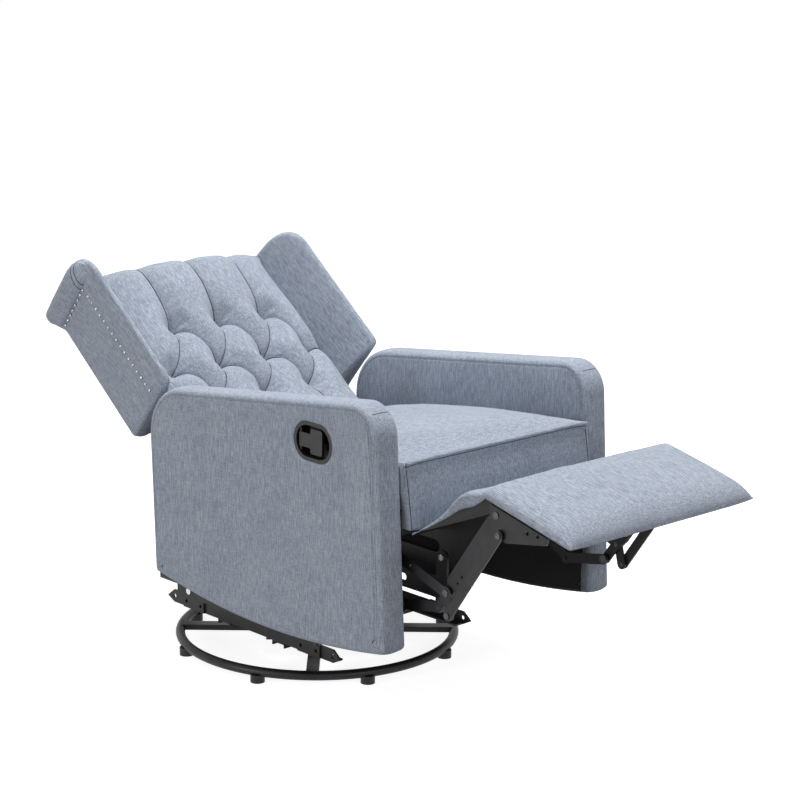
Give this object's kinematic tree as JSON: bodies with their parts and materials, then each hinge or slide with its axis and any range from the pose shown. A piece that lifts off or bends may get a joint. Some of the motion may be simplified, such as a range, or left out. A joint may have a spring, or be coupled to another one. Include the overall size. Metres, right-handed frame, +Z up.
{
  "type": "swivel glider recliner",
  "caption": "Button-tufted wing-back swivel glider recliner with rounded arms, shown reclined with its linked footrest out, on a round steel floor ring.",
  "frame": {"origin": "on the floor under the middle of the whole chair's box as shown, reclined with the footrest out", "axes": "+Z up, -Y the way the sitter faces, +X to the sitter's left"},
  "size_m": [0.635, 1.5348, 0.8022],
  "materials": {
    "blue_grey_weave": "woven melange upholstery cloth over foam",
    "black_lining": "thin black lining cloth over board",
    "black_steel": "satin black coated steel",
    "bright_steel": "zinc plated steel",
    "spring_wire": "oiled spring wire",
    "nailhead_chrome": "polished domed nailheads",
    "black_plastic": "fine grained black plastic",
    "hardwood": "sawn frame timber"
  },
  "bodies": {
    "base": {"base_ring": "black_steel", "base_cross": "black_steel", "floor_glides": "black_plastic", "swivel_plate_lower": "black_steel", "swivel_bearing": "bright_steel", "swivel_bolt": "bright_steel"},
    "turntable": {"swivel_plate_upper": "black_steel", "glider_crossbars": "black_steel", "glider_rail_left": "black_steel", "glider_rail_right": "black_steel", "hanger_brackets": "black_steel", "hanger_pins": "bright_steel"},
    "front_hangers": {"front_hanging_links": "black_steel"},
    "rear_hangers": {"rear_hanging_links": "black_steel"},
    "carriage": {"carrier_rail_left": "black_steel", "carrier_rail_right": "black_steel", "carrier_pins": "bright_steel", "side_plate_left": "black_steel", "side_plate_right": "black_steel", "side_plate_stretcher": "black_steel", "pivot_rivets": "bright_steel", "seat_rail_left": "hardwood", "seat_rail_right": "hardwood", "seat_cross_rails": "hardwood", "seat_springs": "spring_wire", "seat_cushion": "blue_grey_weave", "arm_left": "blue_grey_weave", "arm_right": "blue_grey_weave", "lever_housing": "black_plastic", "lever_pin": "bright_steel", "footrest_flap": "blue_grey_weave"},
    "release": {"lever_paddle": "black_plastic"},
    "knee": {"drive_tube": "black_steel", "knee_arm_left": "black_steel", "knee_arm_right": "black_steel", "knee_rivets": "bright_steel"},
    "lower_guide": {"guide_link_left": "black_steel", "guide_link_right": "black_steel"},
    "channel": {"channel_link_left": "black_steel", "channel_link_right": "black_steel", "channel_rivets": "bright_steel"},
    "upper_guide": {"upper_link_left": "black_steel", "upper_link_right": "black_steel"},
    "footrest": {"footrest_bracket_left": "black_steel", "footrest_bracket_right": "black_steel", "footrest_rivets": "bright_steel", "footrest_board": "black_lining", "footrest_pad": "blue_grey_weave"},
    "back": {"back_frame": "hardwood", "back_bracket_left": "black_steel", "back_bracket_right": "black_steel", "back_bolts": "bright_steel", "back_outer_panel": "blue_grey_weave", "back_cushion": "blue_grey_weave", "wing_left": "blue_grey_weave", "wing_right": "blue_grey_weave", "roll_facing_left": "blue_grey_weave", "roll_facing_right": "blue_grey_weave", "nailheads_left": "nailhead_chrome", "nailheads_right": "nailhead_chrome"}
  },
  "joints": [
    {"name": "swivel", "type": "hinge", "parent": "base", "child": "turntable", "pos_m": [0, 0.20305, 0], "axis": [0, 0, 1], "continuous": true},
    {"name": "glide", "type": "hinge", "parent": "turntable", "child": "front_hangers", "pos_m": [0, 0.01305, 0.188], "axis": [1, 0, 0], "range_deg": [-12, 12]},
    {"name": "carriage_level", "type": "hinge", "parent": "front_hangers", "child": "carriage", "pos_m": [0, 0.01305, 0.103], "axis": [1, 0, 0], "range_deg": [-12.02, 12.02]},
    {"name": "rear_glide", "type": "hinge", "parent": "turntable", "child": "rear_hangers", "pos_m": [0, 0.39305, 0.188], "axis": [1, 0, 0], "range_deg": [-12.02, 12.02]},
    {"name": "recline", "type": "hinge", "parent": "carriage", "child": "back", "pos_m": [0, 0.17905, 0.385], "axis": [1, 0, 0], "range_deg": [0, 36]},
    {"name": "footrest_fold", "type": "hinge", "parent": "carriage", "child": "knee", "pos_m": [0, -0.23195, 0.3763], "axis": [1, 0, 0], "range_deg": [0, 67.71], "deforming": ["footrest_flap"]},
    {"name": "channel_turn", "type": "hinge", "parent": "knee", "child": "channel", "pos_m": [0, -0.43895, 0.312], "axis": [1, 0, 0], "range_deg": [-90.56, 0.04]},
    {"name": "footrest_turn", "type": "hinge", "parent": "channel", "child": "footrest", "pos_m": [0, -0.56695, 0.49], "axis": [1, 0, 0], "range_deg": [-0.04, 99.34]},
    {"name": "lower_guide_turn", "type": "hinge", "parent": "carriage", "child": "lower_guide", "pos_m": [0, -0.21295, 0.317], "axis": [1, 0, 0], "range_deg": [-0.04, 70.24]},
    {"name": "upper_guide_turn", "type": "hinge", "parent": "knee", "child": "upper_guide", "pos_m": [0, -0.44995, 0.271], "axis": [1, 0, 0], "range_deg": [-89.06, 0.04]},
    {"name": "release_lever", "type": "hinge", "parent": "carriage", "child": "release", "pos_m": [-0.3115, -0.10745, 0.558], "axis": [0, 0, -1], "range_deg": [0, 22], "stiffness_Nm_per_rad": 0.6, "springref_deg": -6.88}
  ],
  "couplings": [
    {"joint": "carriage_level", "follows": "glide", "ratio": -1},
    {"joint": "rear_glide", "follows": "glide", "ratio": 1},
    {"joint": "channel_turn", "follows": "footrest_fold", "ratio": -1.3367},
    {"joint": "footrest_turn", "follows": "footrest_fold", "ratio": 1.4665},
    {"joint": "lower_guide_turn", "follows": "footrest_fold", "ratio": 1.0367},
    {"joint": "upper_guide_turn", "follows": "footrest_fold", "ratio": -1.3144}
  ]
}
